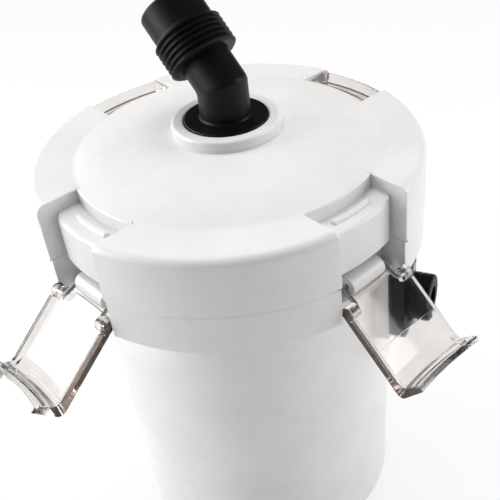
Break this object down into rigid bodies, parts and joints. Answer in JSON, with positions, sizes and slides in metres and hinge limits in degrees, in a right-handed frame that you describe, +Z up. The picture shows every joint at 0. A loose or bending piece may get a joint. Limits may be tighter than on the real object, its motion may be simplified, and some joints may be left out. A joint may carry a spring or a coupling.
{
  "type": "canister filter",
  "caption": "Round external canister filter for an aquarium: a tapered canister under a domed pump head, clear over-centre clips on wire bails, a swivelling outlet elbow and a side inlet.",
  "frame": {"origin": "centre of the underside of the foot ring, on the canister's axis", "axes": "+Z up along the canister's axis; -Y is the front, between the two open clips; +X is the inlet's side"},
  "size_m": [0.2058, 0.1999, 0.2838],
  "materials": {
    "white_shell": "glossy moulded white plastic",
    "black_fitting": "satin black moulded plastic",
    "clear_clip": "clear, faintly smoked plastic with fine scratches",
    "bail_wire": "bright stainless wire",
    "screw_steel": "stainless",
    "black_rubber": "matt black rubber",
    "dark_plastic": "dark moulded plastic",
    "coarse_foam": "coarse open-cell foam",
    "medium_foam": "open-cell foam",
    "fine_foam": "fine filter wool",
    "core_steel": "stacked laminations, varnished",
    "coil_copper": "enamelled copper wire",
    "ceramic_shaft": "polished ceramic",
    "impeller_plastic": "moulded plastic",
    "ferrite": "ferrite magnet"
  },
  "bodies": {
    "canister": {"canister": "white_shell", "foot_ring": "black_rubber", "inlet_gasket": "black_rubber", "inlet_housing": "black_fitting", "inlet_screws": "screw_steel", "down_pipe": "dark_plastic", "basket_lower": "dark_plastic", "basket_middle": "dark_plastic", "basket_upper": "dark_plastic", "sponge_coarse": "coarse_foam", "sponge_medium": "medium_foam", "sponge_fine": "fine_foam"},
    "lid": {"lid_cover": "white_shell", "pump_base": "dark_plastic", "lid_seal": "black_rubber", "lid_screws": "screw_steel", "stator_core": "core_steel", "stator_coils": "coil_copper", "impeller_cover": "dark_plastic", "impeller_shaft": "ceramic_shaft", "shaft_bushings": "black_rubber", "cable_gland": "black_fitting", "outlet_ring": "white_shell"},
    "impeller": {"impeller": "impeller_plastic", "rotor_magnet": "ferrite"},
    "elbow": {"outlet_elbow": "black_fitting", "elbow_seal": "black_rubber"},
    "outlet_nut": {"outlet_nut": "black_fitting"},
    "inlet_nut": {"inlet_nut": "black_fitting"},
    "bail_front_left": {"bail_front_left": "bail_wire"},
    "clip_front_left": {"clip_front_left": "clear_clip"},
    "bail_front_right": {"bail_front_right": "bail_wire"},
    "clip_front_right": {"clip_front_right": "clear_clip"},
    "bail_rear_right": {"bail_rear_right": "bail_wire"},
    "clip_rear_right": {"clip_rear_right": "clear_clip"},
    "bail_rear_left": {"bail_rear_left": "bail_wire"},
    "clip_rear_left": {"clip_rear_left": "clear_clip"}
  },
  "joints": [
    {"name": "lid_lift", "type": "slide", "parent": "canister", "child": "lid", "axis": [0, 0, 1], "range_m": [0, 0.028]},
    {"name": "impeller_spin", "type": "hinge", "parent": "lid", "child": "impeller", "pos_m": [0, 0.026, 0.19], "axis": [0, 0, 1], "continuous": true},
    {"name": "elbow_swivel", "type": "hinge", "parent": "lid", "child": "elbow", "pos_m": [0, 0, 0.22], "axis": [0, 0, 1], "continuous": true},
    {"name": "outlet_nut_turn", "type": "hinge", "parent": "elbow", "child": "outlet_nut", "pos_m": [0, 0, 0.2454], "axis": [-0.5162, 0.5346, 0.6691], "continuous": true},
    {"name": "inlet_nut_turn", "type": "hinge", "parent": "canister", "child": "inlet_nut", "pos_m": [0.08402, -0.03225, 0.147], "axis": [0.9336, -0.3584, 0], "continuous": true},
    {"name": "front_left_bail_lift", "type": "hinge", "parent": "canister", "child": "bail_front_left", "pos_m": [-0.056, -0.056, 0.1808], "axis": [0.7071, -0.7071, 0], "range_deg": [-40, 0]},
    {"name": "front_left_clip_close", "type": "hinge", "parent": "bail_front_left", "child": "clip_front_left", "pos_m": [-0.06215, -0.06215, 0.1762], "axis": [-0.7071, 0.7071, 0], "range_deg": [0, 141.09]},
    {"name": "front_right_bail_lift", "type": "hinge", "parent": "canister", "child": "bail_front_right", "pos_m": [0.056, -0.056, 0.1808], "axis": [0.7071, 0.7071, 0], "range_deg": [-40, 0]},
    {"name": "front_right_clip_close", "type": "hinge", "parent": "bail_front_right", "child": "clip_front_right", "pos_m": [0.06215, -0.06215, 0.1762], "axis": [-0.7071, -0.7071, 0], "range_deg": [0, 141.09]},
    {"name": "rear_right_bail_lift", "type": "hinge", "parent": "canister", "child": "bail_rear_right", "pos_m": [0.056, 0.056, 0.1808], "axis": [0.7071, -0.7071, 0], "range_deg": [0, 12]},
    {"name": "rear_right_clip_open", "type": "hinge", "parent": "bail_rear_right", "child": "clip_rear_right", "pos_m": [0.06215, 0.06215, 0.1762], "axis": [-0.7071, 0.7071, 0], "range_deg": [0, 141.09]},
    {"name": "rear_left_bail_lift", "type": "hinge", "parent": "canister", "child": "bail_rear_left", "pos_m": [-0.056, 0.056, 0.1808], "axis": [0.7071, 0.7071, 0], "range_deg": [0, 12]},
    {"name": "rear_left_clip_open", "type": "hinge", "parent": "bail_rear_left", "child": "clip_rear_left", "pos_m": [-0.06215, 0.06215, 0.1762], "axis": [-0.7071, -0.7071, 0], "range_deg": [0, 141.09]}
  ],
  "couplings": [
    {"joint": "rear_right_bail_lift", "follows": "lid_lift", "rad_per_m": 7.4792},
    {"joint": "rear_right_clip_open", "follows": "lid_lift", "rad_per_m": 87.937},
    {"joint": "rear_left_bail_lift", "follows": "lid_lift", "rad_per_m": 7.4792},
    {"joint": "rear_left_clip_open", "follows": "lid_lift", "rad_per_m": 87.937}
  ]
}
